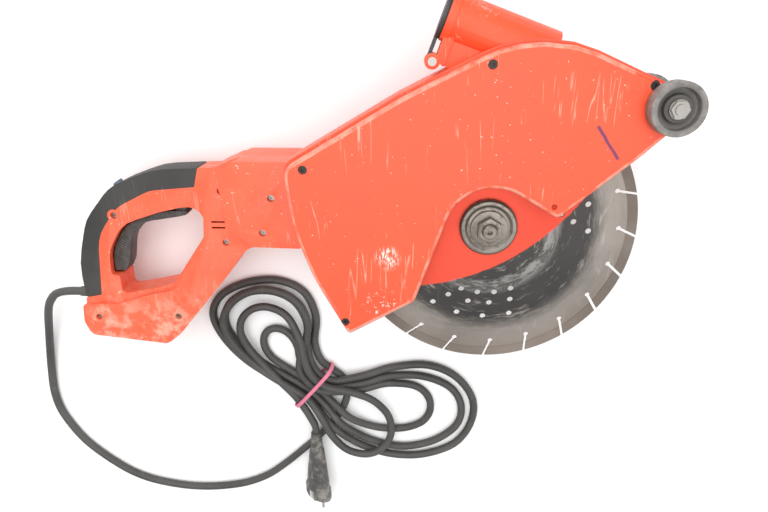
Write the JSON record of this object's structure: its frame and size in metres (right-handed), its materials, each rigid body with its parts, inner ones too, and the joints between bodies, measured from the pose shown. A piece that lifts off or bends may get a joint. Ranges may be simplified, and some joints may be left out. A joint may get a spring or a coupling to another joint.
{
  "type": "concrete cut-off saw",
  "caption": "Electric diamond cut-off saw with dust hood, guide rollers, capped dust port, rear trigger handle, front handle and tied mains cord, lying on its side.",
  "frame": {"origin": "on the spindle axis at the gearbox cover's outer face, which is the floor the saw lies on", "axes": "+X towards the saw's front, +Y towards its top, +Z towards its left side, which faces up"},
  "size_m": [0.7878, 0.7121, 0.187],
  "materials": {
    "cast_alloy": "cast, satin",
    "steel": "machined",
    "spring_steel": "bright wire",
    "blade_steel": "worn, stained",
    "diamond_matrix": "rough sintered",
    "red_plastic": "satin, worn and dusty",
    "faded_red_plastic": "satin, dusty",
    "dark_red_plastic": "satin",
    "laminations": "stacked sheet",
    "copper": "lacquered",
    "brass_part": "turned",
    "black_plastic": "satin",
    "board_potting": "potted",
    "carbon": "matt",
    "roller_plastic": "dusty, greasy",
    "grip_rubber": "matt, dusty",
    "trigger_plastic": "satin, ribbed",
    "button_plastic": "satin",
    "seal_rubber": "matt",
    "cap_plastic": "satin",
    "cord_rubber": "matt, dusty",
    "tie_rubber": "faded"
  },
  "bodies": {
    "saw": {"gearbox_housing": "cast_alloy", "gearbox_cover": "cast_alloy", "gear_cover_gasket": "seal_rubber", "gearbox_cover_screws": "steel", "gearbox_bolts": "steel", "spindle_bearings": "steel", "spindle_seal": "seal_rubber", "spindle_lock_spring": "spring_steel", "guard_shell": "red_plastic", "guard_cover": "red_plastic", "guard_screws": "steel", "roller_axle": "steel", "roller_nuts": "steel", "roller_bushes": "brass_part", "port_cap_pin": "steel", "port_cap_spring": "spring_steel", "motor_housing": "dark_red_plastic", "stator_core": "laminations", "stator_winding": "copper", "motor_bearings": "steel", "brush_holders": "brass_part", "carbon_brushes": "carbon", "brush_springs": "spring_steel", "handle_left": "faded_red_plastic", "handle_right": "faded_red_plastic", "handle_screws": "steel", "grip_overmould": "grip_rubber", "trigger_pin": "steel", "trigger_spring": "spring_steel", "lock_button_spring": "spring_steel", "switch_module": "black_plastic", "electronics_module": "board_potting", "front_handle": "black_plastic", "front_grip": "grip_rubber", "front_handle_bolts": "steel", "cord_sleeve": "cord_rubber", "cord_lead": "cord_rubber", "cord_hank": "cord_rubber", "cord_tie": "tie_rubber", "plug": "cord_rubber"},
    "blade_unit": {"spindle": "steel", "bevel_gear": "steel", "inner_flange": "steel", "blade_core": "blade_steel", "blade_segments": "diamond_matrix", "outer_flange": "steel", "flange_nut": "steel"},
    "armature": {"armature_shaft": "steel", "armature_core": "laminations", "armature_winding": "copper", "commutator": "copper", "cooling_fan": "black_plastic", "bevel_pinion": "steel"},
    "lock_plunger": {"spindle_lock_button": "dark_red_plastic"},
    "left_roller": {"roller_left": "roller_plastic"},
    "right_roller": {"roller_right": "roller_plastic"},
    "port_flap": {"port_cap": "cap_plastic", "port_cap_seal": "seal_rubber"},
    "trigger_lever": {"trigger": "trigger_plastic"},
    "press_button": {"lock_button": "button_plastic"}
  },
  "joints": [
    {"name": "blade_spin", "type": "hinge", "parent": "saw", "child": "blade_unit", "pos_m": [0, 0, 0.135], "axis": [0, 0, 1], "continuous": true},
    {"name": "armature_spin", "type": "hinge", "parent": "saw", "child": "armature", "pos_m": [-0.1, 0, 0.056], "axis": [1, 0, 0], "continuous": true},
    {"name": "spindle_lock", "type": "slide", "parent": "saw", "child": "lock_plunger", "axis": [0, -1, 0], "range_m": [0, 0.004], "stiffness_N_per_m": 600, "springref_m": -0.004, "deforming": ["spindle_lock_spring"]},
    {"name": "trigger_pull", "type": "hinge", "parent": "saw", "child": "trigger_lever", "pos_m": [-0.347, 0.008, 0.056], "axis": [0, 0, -1], "range_deg": [0, 3.5], "stiffness_Nm_per_rad": 4, "springref_deg": -6.88, "deforming": ["trigger_spring"]},
    {"name": "lock_press", "type": "slide", "parent": "saw", "child": "press_button", "axis": [0.6018, -0.7986, 0], "range_m": [0, 0.003], "stiffness_N_per_m": 400, "springref_m": -0.004, "deforming": ["lock_button_spring"]},
    {"name": "roller_left_spin", "type": "hinge", "parent": "saw", "child": "left_roller", "pos_m": [0.158, 0.127, 0.1745], "axis": [0, 0, 1], "continuous": true},
    {"name": "roller_right_spin", "type": "hinge", "parent": "saw", "child": "right_roller", "pos_m": [0.158, 0.127, 0.0935], "axis": [0, 0, 1], "continuous": true},
    {"name": "port_cap_open", "type": "hinge", "parent": "saw", "child": "port_flap", "pos_m": [-0.06294, 0.16508, 0.126], "axis": [0, 0, 1], "range_deg": [0, 110], "stiffness_Nm_per_rad": 0.03, "springref_deg": -34.38, "deforming": ["port_cap_spring"]}
  ],
  "couplings": [
    {"joint": "armature_spin", "follows": "blade_spin", "ratio": -4}
  ]
}
